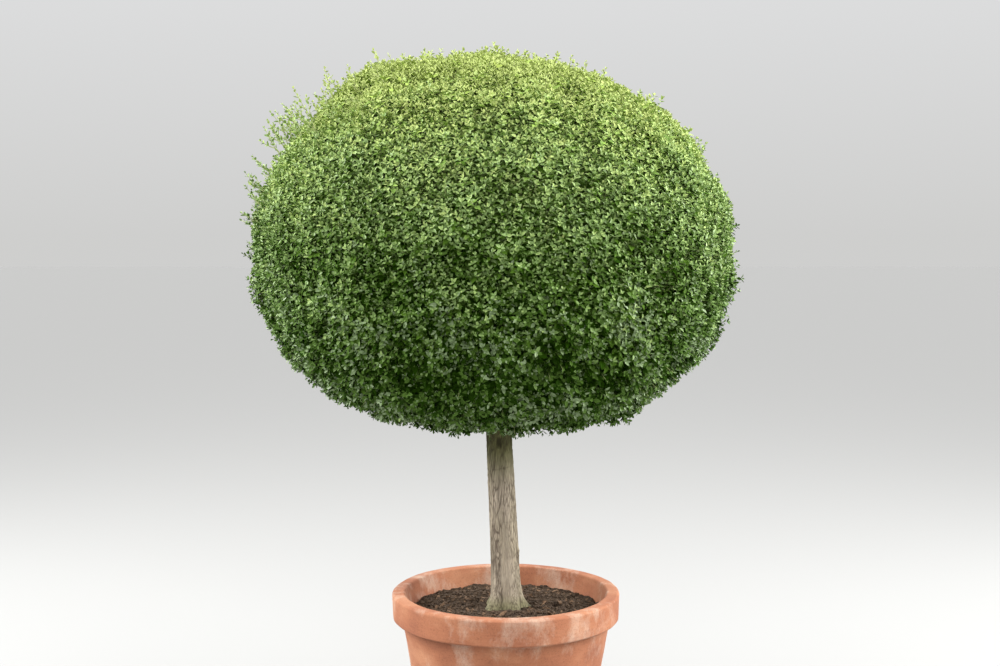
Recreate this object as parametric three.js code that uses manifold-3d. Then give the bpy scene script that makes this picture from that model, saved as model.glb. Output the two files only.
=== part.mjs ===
// A small-leaved privet grown as a ball on a clear stem, standing in a plain terracotta pot.
// Millimetres, +Z up. The origin is the centre of the pot's flat underside; the front is seen along +Y.
import * as THREE from "three";
import { mergeVertices } from "three/addons/utils/BufferGeometryUtils.js";
import Module from "manifold-3d";

const wasm = await Module();
wasm.setup();

// Driving dimensions
const clearance = 0.3; // between pieces that touch
const pot = {
  height: 480,
  rimRadius: 310, // outside of the rolled rim
  baseRadius: 215,
  wall: 22,
  floor: 30,
  rimHeight: 72,
  rimProud: 14, // how far the rim stands out of the tapered wall
  bead: 8, // roundness of the rim's edges
  footEdge: 5, // roundness where the wall meets the underside
  fillet: 12, // between the floor and the inside of the wall
  sides: 40,
  drainRadius: 11,
  drainRing: 120,
  drains: 4,
};
const soil = { belowRim: 45, mound: 9, flatRadius: 105 };
const trunk = {
  footRadius: 40, // just above the root flare
  topRadius: 33.5, // at the fork
  flare: 30, // how far the root flare stands out at the soil
  flareHeight: 26,
  roots: 5,
  lobes: 0.38, // share of the flare that comes and goes with the roots
  ridge: 0.9, // how far the bark's long ridges stand out
  lean: -34, // sideways, from the foot to the middle of the crown
  bow: -1.5,
  headRadius: 46, // the swelling that the boughs fork from
  sides: 24,
  rings: 18,
  easing: 1.7, // crowds the rings towards the root flare
};
const crown = {
  centreHeight: 1420,
  radius: 636,
  halfHeight: 501,
  upperPower: 1.92, // 2 is an ellipse; more is boxier
  lowerPower: 2.26,
  coreInset: 45, // from the clipped surface to the dense twigs
  shell: 56, // how thick the layer of dense twigs is
  roughness: 26, // how far the core's facets stand in and out
  coreDetail: 6,
  insideDetail: 3,
  openingRadius: 92, // round the stem, on the underside
  openingReach: 220, // how far up the opening is cut, from the lowest point
};
const fork = {
  height: 1056,
  boughs: 6,
  firstTurn: 0.35, // of the angle from one bough to the next
  low: { leave: 0.24, reach: -0.2 }, // elevations in radians: leaving the head, and of the tip in the crown
  high: { leave: 0.66, reach: 0.52 },
  leader: { leave: 1.48, reach: 1.42, turn: 0.5 },
  bend: 0.45, // share of the way to the tip where a bough turns
  intoTwigs: 25, // how far a tip would reach into the dense twigs
  rootRadius: 15,
  tipRadius: 8.5,
  leaderRadius: 19,
  sides: 9,
  rings: 10,
};
const leaf = { length: 100, width: 58, thickness: 3.4, keel: 5.6, widest: 0.46 };
const sprigs = {
  count: 92,
  sunk: 60, // how deep a twig starts in the dense layer
  twigRadius: 11,
  stand: 8, // from the dense layer to the first pair of leaves
  step: 13, // from one pair to the next
  angles: [68, 40], // degrees that each pair leaves the twig at
  scales: [1, 0.62],
  angleSpread: 12,
  scaleSpread: 0.2,
  jitter: 0.16,
  lift: 0.3, // how much the shoots turn up
  hanging: -0.35, // height in the crown, from -1 to 1, under which they don't
  proud: 17, // how unevenly the sprigs stand
};
const whips = {
  count: 9,
  reach: 112, // beyond the clipped surface
  shortest: 0.55, // of the longest
  firstPair: 0.6, // share of the length
  nextPair: 0.26,
  spread: 0.52, // radians round the side that escaped the shears
  twigRadius: 8.5,
  angle: 46,
  scales: [0.46, 0.36],
};
const strays = { count: 15, reach: 56, above: 0.25 }; // shorter whips, spread over the upper part
const unclippedSide = new THREE.Vector3(-0.86, -0.2, 0.47).normalize(); // where long shoots grew out
const swells = [
  // where the shears left the surface standing out: the way to it, share of the reach, radians across
  { towards: new THREE.Vector3(-0.59, 0, 0.81).normalize(), share: 0.08, spread: 0.34 },
  { towards: new THREE.Vector3(0.93, 0, -0.36).normalize(), share: 0.035, spread: 0.14 },
  { towards: new THREE.Vector3(0.63, 0, -0.78).normalize(), share: 0.045, spread: 0.13 },
];
const goldenAngle = Math.PI * (3 - Math.sqrt(5));
const up = new THREE.Vector3(0, 0, 1);

const soilTop = pot.height - soil.belowRim;
const crownCentre = new THREE.Vector3(trunk.lean, 0, crown.centreHeight);

// A seeded source of numbers from 0 to 1
function seeded(seed) {
  let state = seed;
  return () => {
    state = (state + 0x6d2b79f5) | 0;
    let mixed = Math.imul(state ^ (state >>> 15), 1 | state);
    mixed = (mixed + Math.imul(mixed ^ (mixed >>> 7), 61 | mixed)) ^ mixed;
    return ((mixed ^ (mixed >>> 14)) >>> 0) / 2 ** 32;
  };
}

// Closed three.js geometry to a solid and back
function toSolid(geometry) {
  const bare = geometry.clone();
  bare.deleteAttribute("normal");
  bare.deleteAttribute("uv");
  const merged = mergeVertices(bare, 1e-4);
  return new wasm.Manifold(
    new wasm.Mesh({
      numProp: 3,
      vertProperties: new Float32Array(merged.attributes.position.array),
      triVerts: new Uint32Array(merged.index.array),
    }),
  );
}

function toGeometry(solid) {
  const mesh = solid.getMesh();
  const geometry = new THREE.BufferGeometry();
  geometry.setAttribute("position", new THREE.BufferAttribute(mesh.vertProperties, 3));
  geometry.setIndex(new THREE.BufferAttribute(mesh.triVerts, 1));
  geometry.computeVertexNormals();
  return geometry;
}

// Moves each vertex of a geometry to where the function puts it
function reshape(geometry, place) {
  const position = geometry.attributes.position;
  const point = new THREE.Vector3();
  for (let i = 0; i < position.count; i += 1) {
    point.fromBufferAttribute(position, i);
    place(point);
    position.setXYZ(i, point.x, point.y, point.z);
  }
  return geometry;
}

// A round profile, given from the foot of its axis to the top, turned about +Z
function turned(profile, sides) {
  const outline = profile.map(([radius, height]) => new THREE.Vector2(radius, height));
  return toSolid(new THREE.LatheGeometry(outline, sides).rotateX(Math.PI / 2));
}

// A limb along a curve: a cylinder whose rings are carried to the curve, with a radius by ring and angle.
// The rings stand across the curve, or lie level
function limb(curve, radiusAt, sides, rings, level = false) {
  const { normals, binormals } = curve.computeFrenetFrames(rings, false);
  if (level) {
    normals.fill(new THREE.Vector3(0, -1, 0));
    binormals.fill(new THREE.Vector3(1, 0, 0));
  }
  const tube = new THREE.CylinderGeometry(1, 1, 1, sides, rings);
  return toSolid(
    reshape(tube, (point) => {
      const ring = Math.round((point.y + 0.5) * rings);
      const share = ring / rings;
      const radius = radiusAt(share, Math.atan2(point.z, point.x));
      const across = normals[ring].clone().multiplyScalar(point.z * radius);
      const along = binormals[ring].clone().multiplyScalar(point.x * radius);
      point.copy(curve.getPoint(share)).add(across).add(along);
    }),
  );
}

// The clipped surface of the crown in a direction from its centre, moved in by an inset
function crownReach(direction, inset) {
  const power = direction.z > 0 ? crown.upperPower : crown.lowerPower;
  const flat = Math.hypot(direction.x, direction.y) / (crown.radius - inset);
  const tall = Math.abs(direction.z) / (crown.halfHeight - inset);
  let swelling = 1;
  for (const { towards, share, spread } of swells) {
    swelling += share * Math.exp(-((direction.angleTo(towards) / spread) ** 2));
  }
  return (flat ** power + tall ** power) ** (-1 / power) * swelling;
}

function crownPoint(direction, inset) {
  return direction.clone().multiplyScalar(crownReach(direction, inset)).add(crownCentre);
}

function crownNormal(direction) {
  const power = direction.z > 0 ? crown.upperPower : crown.lowerPower;
  const place = direction.clone().multiplyScalar(crownReach(direction, 0));
  const flat = Math.hypot(place.x, place.y);
  const outward = (flat / crown.radius) ** (power - 1) / crown.radius;
  const upward = (Math.abs(place.z) / crown.halfHeight) ** (power - 1) / crown.halfHeight;
  return new THREE.Vector3(
    (place.x / (flat || 1)) * outward,
    (place.y / (flat || 1)) * outward,
    Math.sign(place.z) * upward,
  ).normalize();
}

// Directions to evenly spread places on the crown: equal areas up it, a golden angle round it
function evenDirections(count) {
  const bands = 240;
  const elevation = (i) => Math.PI * (i / bands - 0.5);
  const towards = (angle, turn) =>
    new THREE.Vector3(
      Math.cos(angle) * Math.cos(turn),
      Math.cos(angle) * Math.sin(turn),
      Math.sin(angle),
    );
  const areas = [0];
  for (let i = 0; i < bands; i += 1) {
    const low = towards(elevation(i), 0);
    const high = towards(elevation(i + 1), 0);
    low.multiplyScalar(crownReach(low, 0));
    high.multiplyScalar(crownReach(high, 0));
    areas.push(areas[i] + low.distanceTo(high) * (low.x + high.x));
  }
  const directions = [];
  let band = 0;
  for (let i = 0; i < count; i += 1) {
    const wanted = (areas[bands] * (i + 0.5)) / count;
    while (areas[band + 1] < wanted) band += 1;
    const share = (wanted - areas[band]) / (areas[band + 1] - areas[band]);
    directions.push(towards(elevation(band + share), i * goldenAngle));
  }
  return directions;
}

// The pot: one turned wall with a rolled rim, and drain holes through its floor
function makePot() {
  const { height, rimRadius, rimProud, rimHeight, baseRadius, wall, floor, bead, footEdge, fillet } = pot;
  const wallTop = rimRadius - rimProud;
  const slope = (wallTop - baseRadius) / height;
  const rimFoot = height - rimHeight;
  const outside = (z) => baseRadius + slope * z;
  const inside = (z) => outside(z) - wall;
  const body = turned(
    [
      [0, 0],
      [baseRadius - footEdge, 0],
      [outside(footEdge), footEdge],
      [outside(rimFoot - bead), rimFoot - bead],
      [outside(rimFoot) + rimProud - bead * 0.5, rimFoot],
      [rimRadius - bead * 0.4, rimFoot + bead],
      [rimRadius, height - bead * 1.6],
      [rimRadius - bead * 0.5, height - bead * 0.4],
      [rimRadius - bead * 1.3, height],
      [inside(height) + bead * 0.6, height],
      [inside(height), height - bead],
      [inside(floor + fillet), floor + fillet],
      [inside(floor) - fillet, floor],
      [0, floor],
    ],
    pot.sides,
  );
  const holes = Array.from({ length: pot.drains }, (_, i) => {
    const turn = (i + 0.5) * ((2 * Math.PI) / pot.drains);
    const drill = new THREE.CylinderGeometry(pot.drainRadius, pot.drainRadius, floor * 3, 8);
    drill.rotateX(Math.PI / 2);
    drill.translate(pot.drainRing * Math.cos(turn), pot.drainRing * Math.sin(turn), floor / 2);
    return toSolid(drill);
  });
  return holes.reduce((solid, hole) => solid.subtract(hole), body);
}

// The potting soil: it fills the pot and is mounded a little towards the stem
function makeSoil() {
  const { height, rimRadius, rimProud, baseRadius, wall, floor, fillet } = pot;
  const slope = (rimRadius - rimProud - baseRadius) / height;
  const inside = (z) => baseRadius + slope * z - wall - clearance * 1.2;
  const edge = soilTop - soil.mound;
  const middle = (inside(edge) + soil.flatRadius) / 2;
  return turned(
    [
      [0, floor + clearance],
      [inside(floor) - fillet, floor + clearance],
      [inside(floor + fillet), floor + fillet + clearance],
      [inside(edge), edge],
      [middle, soilTop - soil.mound * 0.35],
      [soil.flatRadius, soilTop],
      [0, soilTop],
    ],
    pot.sides,
  );
}

// The stem from its flat foot on the soil to the swollen head that the boughs fork from, grown by a margin
const foot = new THREE.Vector3(0, 0, soilTop + clearance);
const head = new THREE.Vector3(
  trunk.lean * ((fork.height - soilTop) / (crown.centreHeight - soilTop)),
  0,
  fork.height,
);

function makeTrunk(margin) {
  const rise = head.z - foot.z;
  const path = new THREE.CubicBezierCurve3(
    foot,
    new THREE.Vector3(trunk.bow * 0.6, trunk.bow, foot.z + rise * 0.3),
    new THREE.Vector3(head.x + trunk.bow, trunk.bow, foot.z + rise * 0.7),
    head,
  );
  path.getPoint = (share) => THREE.CubicBezierCurve3.prototype.getPoint.call(path, share ** trunk.easing);
  const radiusAt = (share, angle) => {
    const climbed = rise * share ** trunk.easing;
    const taper = THREE.MathUtils.lerp(trunk.footRadius, trunk.topRadius, Math.min(1, climbed / rise));
    const lobe = 1 - trunk.lobes + trunk.lobes * Math.cos(trunk.roots * angle + 0.8 * Math.sin(angle));
    const flare = trunk.flare * lobe * Math.exp(-climbed / trunk.flareHeight);
    const ridge = trunk.ridge * (Math.sin(3 * angle + climbed / 170) + 0.7 * Math.sin(7 * angle));
    return taper + flare + ridge + margin;
  };
  const stem = limb(path, radiusAt, trunk.sides, trunk.rings, true);
  const ball = new THREE.IcosahedronGeometry(trunk.headRadius + margin, 3);
  const swelling = reshape(ball, (point) => point.add(head));
  return stem.add(toSolid(swelling));
}

// The outside or the inside of the layer of dense twigs: a sphere of even facets carried to the crown
function crownSurface(inset, roughness, detail, random) {
  const sphere = new THREE.IcosahedronGeometry(1, detail);
  sphere.deleteAttribute("normal");
  sphere.deleteAttribute("uv");
  const merged = mergeVertices(sphere, 1e-4);
  return toSolid(
    reshape(merged, (point) => {
      const step = (random() - 0.5) * 2 * roughness;
      point.copy(crownPoint(point.clone().normalize(), inset + step));
    }),
  );
}

// The boughs: six that fork evenly round the head, low and high in turn, and a leader, each to the foliage
function boughPlans() {
  const plans = [];
  for (let i = 0; i < fork.boughs; i += 1) {
    const low = i % 2 === 0;
    plans.push({
      name: `bough_${i + 1}`,
      turn: (i + fork.firstTurn) * ((2 * Math.PI) / fork.boughs),
      radius: fork.rootRadius,
      ...(low ? fork.low : fork.high),
    });
  }
  plans.push({ name: "leader", radius: fork.leaderRadius, ...fork.leader });
  return plans;
}

function makeBough(plan, stem, hollow) {
  const aim = (elevation) =>
    new THREE.Vector3(
      Math.cos(elevation) * Math.cos(plan.turn),
      Math.cos(elevation) * Math.sin(plan.turn),
      Math.sin(elevation),
    );
  const tip = crownPoint(aim(plan.reach), crown.coreInset + crown.shell - fork.intoTwigs);
  const bend = head.clone().addScaledVector(aim(plan.leave), head.distanceTo(tip) * fork.bend);
  const path = new THREE.QuadraticBezierCurve3(head, bend, tip);
  const radiusAt = (share, angle) =>
    THREE.MathUtils.lerp(plan.radius, fork.tipRadius, share ** 0.8) + 0.5 * Math.sin(2 * angle + plan.turn);
  return limb(path, radiusAt, fork.sides, fork.rings).subtract(stem).intersect(hollow);
}

// One leaf: a thin, folded blade of eight faces, with its root at the origin and its length along +Y
function leafShape(scale) {
  const blade = new THREE.OctahedronGeometry(1, 0);
  return reshape(blade, (point) => {
    const middle = Math.abs(point.y) < 0.5;
    const sunk = middle && Math.abs(point.z) > 0.5 ? leaf.keel : 0;
    point.set(
      (point.x * leaf.width) / 2,
      middle ? leaf.length * leaf.widest : (leaf.length * (point.y + 1)) / 2,
      (point.z * leaf.thickness) / 2 - sunk,
    ).multiplyScalar(scale);
  });
}

// A leaf on a twig: it leaves the axis towards a side, at an angle, with its root in the middle of the twig
function leafSolid(base, axis, side, angle, scale) {
  const along = axis.clone().multiplyScalar(Math.cos(angle)).addScaledVector(side, Math.sin(angle));
  const across = new THREE.Vector3().crossVectors(along, axis).normalize();
  const face = new THREE.Vector3().crossVectors(across, along);
  const placed = new THREE.Matrix4().makeBasis(across, along, face).setPosition(base);
  return toSolid(leafShape(scale).applyMatrix4(placed));
}

// A three-sided twig that tapers to a point
function twigSolid(root, axis, side, length, radius) {
  const across = new THREE.Vector3().crossVectors(axis, side);
  const placed = new THREE.Matrix4()
    .makeBasis(across, axis, side)
    .setPosition(root.clone().addScaledVector(axis, length / 2));
  return toSolid(new THREE.ConeGeometry(radius, length, 3, 1).applyMatrix4(placed));
}

// A vector across the axis, turned about it
function sideOf(axis, turn) {
  const flat = Math.abs(axis.z) > 0.95 ? new THREE.Vector3(1, 0, 0) : up;
  const side = new THREE.Vector3().crossVectors(axis, flat).normalize();
  return side.applyAxisAngle(axis, turn);
}

// The way a shoot grows: out of the clipped surface, and up where the foliage isn't hanging
function shootAxis(direction, random) {
  const axis = crownNormal(direction);
  axis.z += direction.z > sprigs.hanging ? sprigs.lift : 0;
  axis.x += (random() - 0.5) * 2 * sprigs.jitter;
  axis.y += (random() - 0.5) * 2 * sprigs.jitter;
  axis.z += (random() - 0.5) * 2 * sprigs.jitter;
  return axis.normalize();
}

// A shoot with opposite pairs of leaves at the given heights, each pair turned across the last
function makeShoot(direction, axis, radius, heights, angles, scales, random) {
  const surface = crownPoint(direction, crown.coreInset);
  const root = surface.clone().addScaledVector(axis, -sprigs.sunk);
  const side = sideOf(axis, random() * Math.PI);
  const tip = heights.at(-1) + 1.6 * sprigs.step;
  const pieces = [twigSolid(root, axis, side, sprigs.sunk + tip, radius)];
  heights.forEach((height, i) => {
    const base = surface.clone().addScaledVector(axis, height);
    const towards = side.clone().applyAxisAngle(axis, (i * Math.PI) / 2);
    const angle = THREE.MathUtils.degToRad(angles[i] + (random() - 0.5) * sprigs.angleSpread);
    const scale = scales[i] * (1 + (random() - 0.5) * sprigs.scaleSpread);
    pieces.push(leafSolid(base, axis, towards, angle, scale));
    pieces.push(leafSolid(base, axis, towards.negate(), angle, scale));
  });
  return pieces;
}

// A sprig: the short shoot of the clipped surface, with two pairs of leaves
function makeSprig(direction, random) {
  const axis = shootAxis(direction, random);
  const stand = sprigs.stand + random() * sprigs.proud;
  const heights = sprigs.scales.map((_, i) => stand + i * sprigs.step);
  return makeShoot(direction, axis, sprigs.twigRadius, heights, sprigs.angles, sprigs.scales, random);
}

// A whip: a long shoot that escaped the shears, with smaller leaves
function makeWhip(direction, reach, random) {
  const axis = shootAxis(direction, random);
  const beyond = reach * THREE.MathUtils.lerp(whips.shortest, 1, random());
  const length = crown.coreInset + beyond - sprigs.step;
  const heights = whips.scales.map((_, i) => length * (whips.firstPair + whips.nextPair * i));
  const angles = whips.scales.map(() => whips.angle);
  return makeShoot(direction, axis, whips.twigRadius, heights, angles, whips.scales, random);
}

// The crown's foliage: a shell of dense twigs, open round the stem, with sprigs and whips fused on
function makeFoliage() {
  const random = seeded(41);
  const outside = crownSurface(crown.coreInset, crown.roughness, crown.coreDetail, random);
  const inside = crownSurface(crown.coreInset + crown.shell, 0, crown.insideDetail, random);
  const { openingRadius, openingReach } = crown;
  const opening = new THREE.CylinderGeometry(openingRadius, openingRadius, openingReach, 14);
  opening.rotateX(Math.PI / 2);
  opening.translate(head.x, 0, crown.centreHeight - crown.halfHeight + openingReach / 2);
  const pieces = [];
  for (const direction of evenDirections(sprigs.count)) {
    const place = crownPoint(direction, 0);
    const besideStem = Math.hypot(place.x - head.x, place.y) < openingRadius + leaf.length;
    if (place.z < crown.centreHeight && besideStem) continue;
    pieces.push(...makeSprig(direction, random));
  }
  for (let i = 0; i < whips.count; i += 1) {
    const away = whips.spread * Math.sqrt((i + 0.5) / whips.count);
    const direction = unclippedSide.clone().applyAxisAngle(sideOf(unclippedSide, i * goldenAngle), away);
    pieces.push(...makeWhip(direction, whips.reach, random));
  }
  for (const direction of evenDirections(strays.count)) {
    if (direction.z < strays.above || direction.angleTo(unclippedSide) < whips.spread) continue;
    pieces.push(...makeWhip(direction, strays.reach, random));
  }
  const shell = outside.subtract(inside).subtract(toSolid(opening));
  return wasm.Manifold.union([shell, ...pieces]);
}

// The assembly: each piece its own named mesh
const materials = {
  terracotta: new THREE.MeshStandardMaterial({ color: 0xb06a48, roughness: 0.85 }),
  soil: new THREE.MeshStandardMaterial({ color: 0x3d2c20, roughness: 1.0 }),
  bark: new THREE.MeshStandardMaterial({ color: 0x9a8a72, roughness: 0.9 }),
  foliage: new THREE.MeshStandardMaterial({ color: 0x5f8a35, roughness: 0.6 }),
};

const plant = new THREE.Group();
plant.name = "potted_ball_topiary";

function addPiece(name, solid, material) {
  const mesh = new THREE.Mesh(toGeometry(solid), material);
  mesh.name = name;
  plant.add(mesh);
}

addPiece("pot", makePot(), materials.terracotta);
addPiece("soil", makeSoil(), materials.soil);
addPiece("trunk", makeTrunk(0), materials.bark);

const stemWithMargin = makeTrunk(clearance);
const hollow = crownSurface(crown.coreInset + crown.shell + clearance, 0, crown.insideDetail, seeded(1));
for (const plan of boughPlans()) {
  addPiece(plan.name, makeBough(plan, stemWithMargin, hollow), materials.bark);
}
addPiece("foliage", makeFoliage(), materials.foliage);

export default plant;
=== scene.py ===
# A small-leaved privet grown as a ball on a clear stem, in a clay pot. Metres, +Z up, front seen along +Y.
import math
import bpy
import numpy as np
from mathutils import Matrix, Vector
from mathutils.kdtree import KDTree


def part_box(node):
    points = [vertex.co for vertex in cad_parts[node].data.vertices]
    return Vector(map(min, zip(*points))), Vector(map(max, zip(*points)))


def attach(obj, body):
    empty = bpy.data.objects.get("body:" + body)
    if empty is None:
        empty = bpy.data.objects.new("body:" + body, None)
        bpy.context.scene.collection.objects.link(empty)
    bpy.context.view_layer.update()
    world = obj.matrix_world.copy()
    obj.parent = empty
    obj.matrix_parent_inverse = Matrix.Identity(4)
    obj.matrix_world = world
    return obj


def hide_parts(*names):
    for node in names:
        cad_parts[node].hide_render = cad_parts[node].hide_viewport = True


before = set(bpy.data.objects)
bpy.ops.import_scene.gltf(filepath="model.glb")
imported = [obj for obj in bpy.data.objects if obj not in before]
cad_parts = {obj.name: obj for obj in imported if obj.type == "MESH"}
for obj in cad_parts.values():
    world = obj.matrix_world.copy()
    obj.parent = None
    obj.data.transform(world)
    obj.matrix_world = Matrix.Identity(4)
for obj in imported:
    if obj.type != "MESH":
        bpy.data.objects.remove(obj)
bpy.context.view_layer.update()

# Where things stand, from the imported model
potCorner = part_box("pot")[1]
rimRadius, potHeight = potCorner.x, potCorner.z
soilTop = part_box("soil")[1].z
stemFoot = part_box("trunk")[0].z
up = np.array([0.0, 0.0, 1.0])
goldenAngle = math.pi * (3 - math.sqrt(5))
tiny = 1e-9  # keeps a division by a length safe


# Small helpers for arrays of vectors
def unit(vectors):
    return vectors / np.maximum(np.linalg.norm(vectors, axis=-1, keepdims=True), tiny)


def dots(a, b):
    return np.sum(a * b, axis=-1, keepdims=True)


def smoothStep(low, high, values):
    share = np.clip((values - low) / (high - low), 0, 1)
    return share * share * (3 - 2 * share)


waveSpread = (0.7, 1.45)  # of the lengths of the waves in one field


# A smooth random field of spread one: plane waves of about one length, drawn out along Z by stretch
def field(points, wavelength, seed, stretch=1.0, waves=26):
    rng = np.random.default_rng(seed)
    directions = unit(rng.normal(size=(waves, 3)))
    numbers = 2 * math.pi / (wavelength * rng.uniform(*waveSpread, waves))
    phases = rng.uniform(0, 2 * math.pi, waves)
    squeezed = points * np.array([1.0, 1.0, 1.0 / stretch])
    total = np.zeros(len(points))
    for direction, number, phase in zip(directions, numbers, phases):
        total += np.sin(squeezed @ direction * number + phase)
    return total * math.sqrt(2 / waves)


# A field from a plan: its reach, wavelength, seed and stretch
def relief(points, plan):
    reach, *waves = plan
    return reach * field(points, *waves)


# Cells of a jittered grid, long in Z: nought on their borders, growing to their middles
cellGrid = {"jitters": 4096, "steps": (73, 179, 283)}


def cells(points, width, height, seed):
    jitters = np.random.default_rng(seed).uniform(0, 1, (cellGrid["jitters"], 3))
    places = points / np.array([width, width, height])
    corner = np.floor(places).astype(int)
    nearest = np.full(len(points), np.inf)
    second = np.full(len(points), np.inf)
    for offset in np.ndindex(3, 3, 3):
        cell = corner + np.array(offset) - 1
        jitter = jitters[(cell @ np.array(cellGrid["steps"])) % cellGrid["jitters"]]
        away = np.linalg.norm(cell + jitter - places, axis=1)
        second = np.minimum(second, np.maximum(nearest, away))
        nearest = np.minimum(nearest, away)
    return second - nearest


def addObject(name, data):
    made = bpy.data.objects.new(name, data)
    bpy.context.scene.collection.objects.link(made)
    return made


# One mesh object from arrays: points, and any number of face arrays with three, four or more corners a row
def meshPiece(name, points, faceSets, smooth=False):
    mesh = bpy.data.meshes.new(name)
    corners = np.concatenate([faces.ravel() for faces in faceSets]).astype(np.int32)
    sizes = np.concatenate([np.full(len(faces), faces.shape[1]) for faces in faceSets])
    starts = np.concatenate([[0], np.cumsum(sizes)[:-1]]).astype(np.int32)
    mesh.vertices.add(len(points))
    mesh.vertices.foreach_set("co", points.astype(np.float32).ravel())
    mesh.loops.add(len(corners))
    mesh.loops.foreach_set("vertex_index", corners)
    mesh.polygons.add(len(sizes))
    mesh.polygons.foreach_set("loop_start", starts)
    mesh.update(calc_edges=True)
    mesh.polygons.foreach_set("use_smooth", np.full(len(sizes), smooth))
    mesh.validate()
    return addObject(name, mesh)


def addPointValues(piece, name, values):
    attribute = piece.data.attributes.new(name, "FLOAT", "POINT")
    attribute.data.foreach_set("value", values.astype(np.float32))


def ringTurns(sides):
    return np.linspace(0, 2 * math.pi, sides, endpoint=False)


# Places round the Z axis
def roundAbout(radius, turn):
    return np.column_stack([radius * np.cos(turn), radius * np.sin(turn), np.zeros(len(turn))])


# Faces of a closed skin of rings, its walls and then its ends, facing out where they climb counter-clockwise
def skinFaces(rings, sides, clockwise=False):
    ring, side = np.meshgrid(np.arange(rings - 1), np.arange(sides), indexing="ij")
    below, above = ring * sides, (ring + 1) * sides
    following = (side + 1) % sides
    walls = np.stack([below + side, below + following, above + following, above + side], axis=-1)
    around = np.arange(sides)
    ends = np.stack([around[::-1], (rings - 1) * sides + around])
    order = -1 if clockwise else 1
    return [walls.reshape(-1, 4)[:, ::order], ends[:, ::order]]


# The same faces for each of many shapes, whose points follow one another
def repeatedFaces(faces, count, pointsEach):
    offsets = (np.arange(count) * pointsEach)[:, None, None]
    return (faces[None] + offsets).reshape(-1, faces.shape[1])


def triangles(piece):
    return sum(len(polygon.vertices) - 2 for polygon in piece.data.polygons)


# Materials: a Principled shader, and the few nodes that the patterned ones share
def newMaterial(name, color, roughness, specular=0.5):
    material = bpy.data.materials.new(name)
    material.use_nodes = True
    shader = material.node_tree.nodes["Principled BSDF"]
    shader.inputs["Base Color"].default_value = (*color, 1)
    shader.inputs["Roughness"].default_value = roughness
    shader.inputs["Specular IOR Level"].default_value = specular
    return material, shader


def objectNoise(material, scale, detail=4, stretch=(1, 1, 1), rough=0.55):
    nodes, links = material.node_tree.nodes, material.node_tree.links
    place = nodes.new("ShaderNodeTexCoord")
    mapping = nodes.new("ShaderNodeMapping")
    mapping.inputs["Scale"].default_value = stretch
    noise = nodes.new("ShaderNodeTexNoise")
    noise.inputs["Scale"].default_value = scale
    noise.inputs["Detail"].default_value = detail
    noise.inputs["Roughness"].default_value = rough
    links.new(place.outputs["Object"], mapping.inputs["Vector"])
    links.new(mapping.outputs["Vector"], noise.inputs["Vector"])
    return noise.outputs["Fac"]


def fillRamp(node, stops):
    elements = node.color_ramp.elements
    while len(elements) < len(stops):
        elements.new(0.5)
    for element, (position, color) in zip(elements, stops):
        element.position = position
        element.color = (*color, 1)


def ramp(material, value, stops):
    node = material.node_tree.nodes.new("ShaderNodeValToRGB")
    fillRamp(node, stops)
    material.node_tree.links.new(value, node.inputs["Fac"])
    return node.outputs["Color"]


def mix(material, share, first, second, blend="MIX"):
    node = material.node_tree.nodes.new("ShaderNodeMix")
    node.data_type = "RGBA"
    node.blend_type = blend
    links = material.node_tree.links
    for socket, value in (("Factor_Float", share), ("A_Color", first), ("B_Color", second)):
        target = next(entry for entry in node.inputs if entry.identifier == socket)
        if isinstance(value, (int, float)):
            target.default_value = value
        elif isinstance(value, tuple):
            target.default_value = (*value, 1)
        else:
            links.new(value, target)
    return next(entry for entry in node.outputs if entry.identifier == "Result_Color")


def multiply(material, first, second):
    return mix(material, 1.0, first, second, "MULTIPLY")


def pointValue(material, name):
    node = material.node_tree.nodes.new("ShaderNodeAttribute")
    node.attribute_name = name
    return node.outputs["Fac"]


def addBump(material, shader, height, distance, strength=1.0):
    node = material.node_tree.nodes.new("ShaderNodeBump")
    node.inputs["Strength"].default_value = strength
    node.inputs["Distance"].default_value = distance
    material.node_tree.links.new(height, node.inputs["Height"])
    material.node_tree.links.new(node.outputs["Normal"], shader.inputs["Normal"])


def setColor(material, shader, color):
    material.node_tree.links.new(color, shader.inputs["Base Color"])


def finishPiece(piece, material, slot, *nodes):
    piece.data.materials.append(material)
    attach(piece, "root")
    if nodes:
        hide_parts(*nodes)


# Camera, at the photograph's angle: a little above the middle of the crown, looking slightly down
view = {
    "place": (-0.016, -3.75, 1.45),
    "pitchDown": math.radians(4.03),
    "lens": 50,
    "sensor": 36,
}


def makeCamera():
    data = bpy.data.cameras.new("camera")
    data.lens = view["lens"]
    data.sensor_width = view["sensor"]
    camera = addObject("camera", data)
    camera.location = view["place"]
    camera.rotation_euler = (math.pi / 2 - view["pitchDown"], 0, 0)
    bpy.context.scene.camera = camera


# Soft light: a pale sky, brightest overhead as on a dull day, and three broad lamps
light = {
    # height from 0 at the horizon to 1 overhead, and color there: grey low down, as a plain backdrop
    "sky": [(0.0, (0.293, 0.293, 0.289)), (0.17, (0.340, 0.342, 0.344)), (0.32, (0.82, 0.82, 0.82)),
            (1.0, (0.93, 0.93, 0.915))],
    "skyStrength": 2.12,
    "lamps": {
        "front": {"place": (0.8, -5.2, 1.9), "size": 3.0, "power": 16, "color": (1.0, 0.98, 0.96)},
        "left": {"place": (-4.2, -0.3, 3.3), "size": 3.0, "power": 362, "color": (1.0, 1.0, 0.98)},
        "right": {"place": (4.2, -0.6, 3.2), "size": 3.0, "power": 415, "color": (1.0, 1.0, 0.98)},
    },
    "floorColor": (0.310, 0.310, 0.309),
    "floorRoughness": 0.9,
    "floorGloss": 0.2,
    "floorHalf": 60.0,
    "aim": (0.0, 0.0, 1.3),
}


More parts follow.
